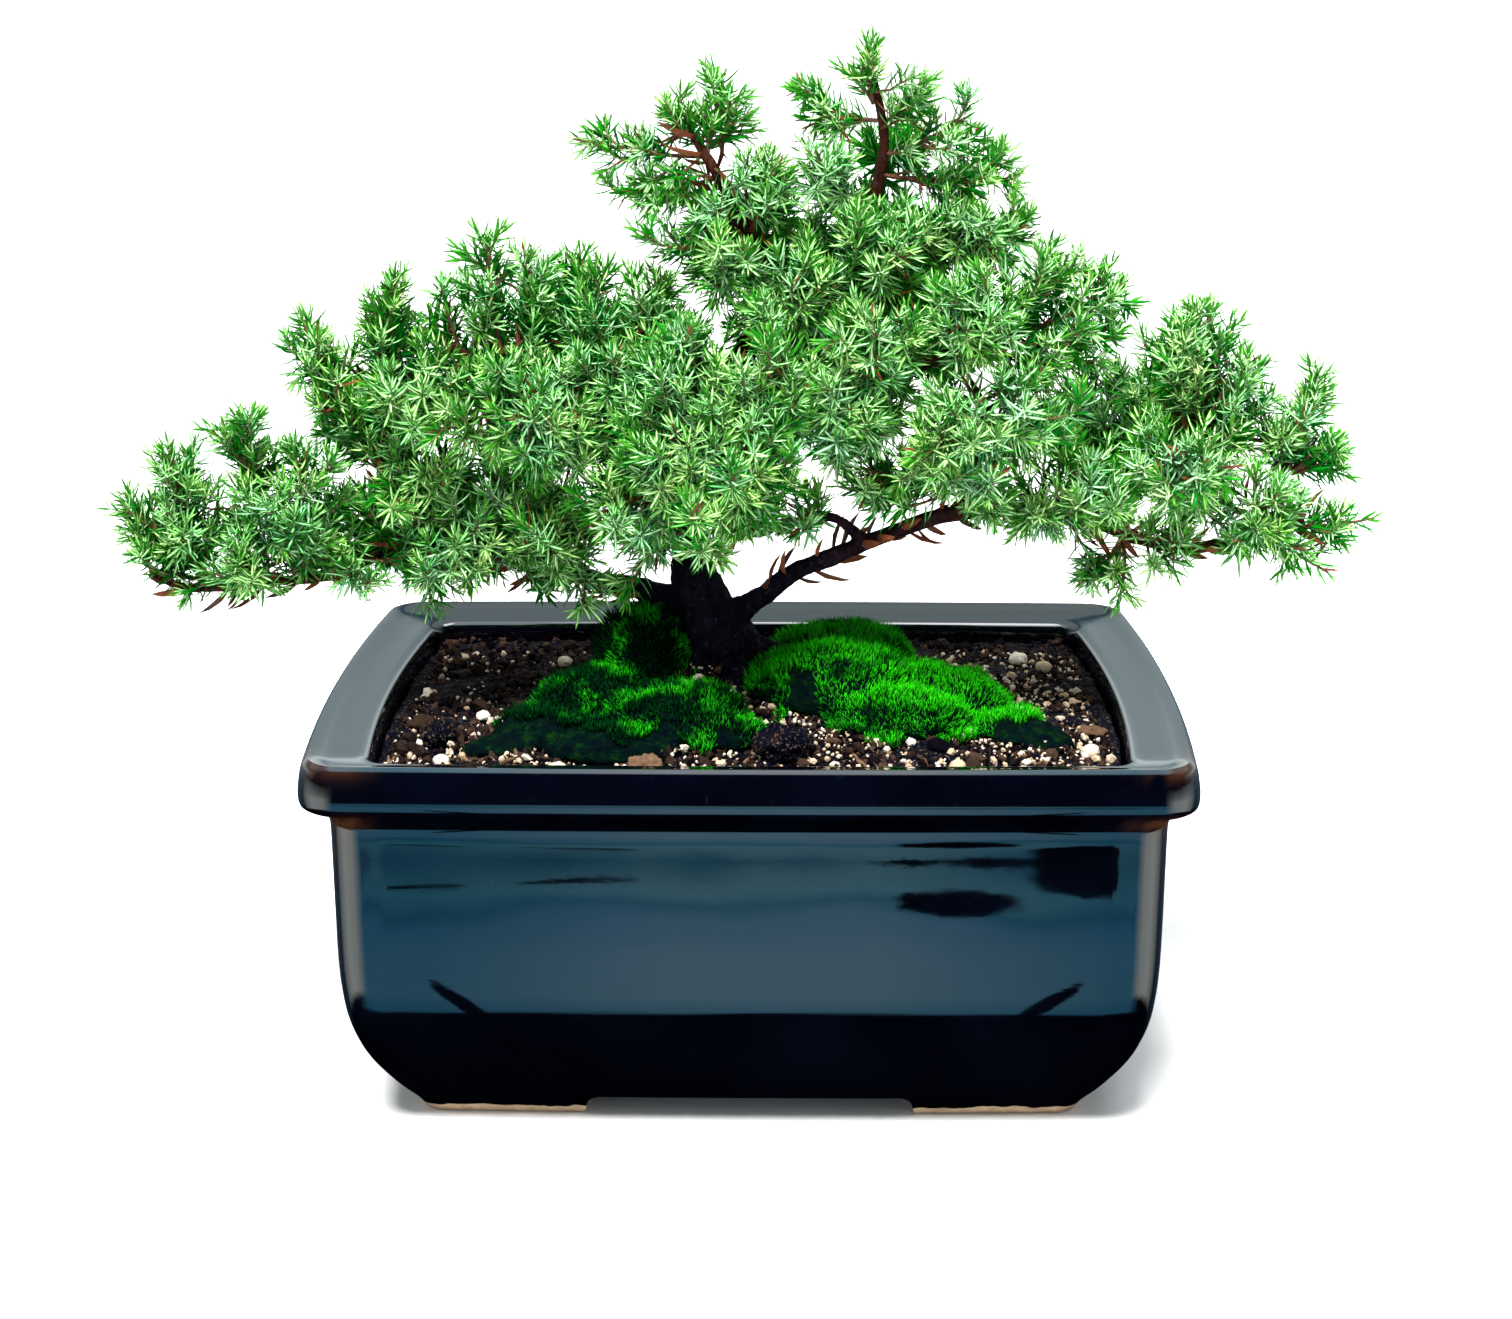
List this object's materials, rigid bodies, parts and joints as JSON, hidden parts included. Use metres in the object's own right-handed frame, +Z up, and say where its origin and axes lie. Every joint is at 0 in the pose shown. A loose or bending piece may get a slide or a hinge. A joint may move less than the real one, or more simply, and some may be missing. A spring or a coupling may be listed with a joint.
{
  "type": "bonsai tree in a pot",
  "caption": "Spreading juniper bonsai with dense short needles, a leaning trunk and mossy soil, in a footed glazed rectangular pot.",
  "frame": {"origin": "centre of the footprint on the surface that the pot's feet stand on", "axes": "+Z up, +X along the pot's long side to the viewer's right, -Y the front"},
  "size_m": [0.3153, 0.1554, 0.2519],
  "materials": {
    "glaze": "glossy dark navy glaze",
    "screen": "black moulded mesh",
    "soil": "crumbly dark bark and peat mix",
    "moss": "fine soft cushion",
    "bark": "rough flaking bark",
    "perlite": "matt porous grain",
    "chip": "fibrous bark chip",
    "needles": "waxy needles, pale above and green below"
  },
  "bodies": {
    "root": {"glazed_pot": "glaze", "drain_screen_left": "screen", "drain_screen_right": "screen", "trunk_and_branches": "bark", "potting_soil": "soil", "moss_cushion_left": "moss", "moss_cushion_centre": "moss", "moss_cushion_right": "moss", "moss_cushion_right_tail": "moss", "perlite_grain_1": "perlite", "perlite_grain_2": "perlite", "perlite_grain_3": "perlite", "perlite_grain_4": "perlite", "perlite_grain_5": "perlite", "perlite_grain_6": "perlite", "perlite_grain_7": "perlite", "perlite_grain_8": "perlite", "bark_chip_1": "chip", "bark_chip_2": "chip", "bark_chip_3": "chip", "bark_chip_4": "chip", "soil_clod_1": "soil", "soil_clod_2": "soil", "bough_left_tip": "needles", "bough_left_outer": "needles", "bough_left_riser": "needles", "bough_left_riser_top": "needles", "bough_left_low": "needles", "bough_left_low_back": "needles", "bough_left_inner": "needles", "bough_left_upper_tip": "needles", "bough_left_upper_front": "needles", "bough_left_upper": "needles", "bough_left_back_tip": "needles", "bough_left_back": "needles", "bough_front": "needles", "bough_front_right": "needles", "bough_front_low": "needles", "bough_low_twig": "needles", "bough_crown_left_tip": "needles", "bough_crown_left": "needles", "bough_crown_left_low": "needles", "bough_apex": "needles", "bough_crown_right": "needles", "bough_crown_right_low": "needles", "bough_crown_back": "needles", "bough_crown_front": "needles", "bough_right_upper": "needles", "bough_right_upper_tip": "needles", "bough_right_riser": "needles", "bough_right_back": "needles", "bough_right_low": "needles", "bough_right_outer_riser": "needles", "bough_right_low_back": "needles", "bough_right_end_riser": "needles", "bough_right_tip": "needles"}
  },
  "joints": []
}
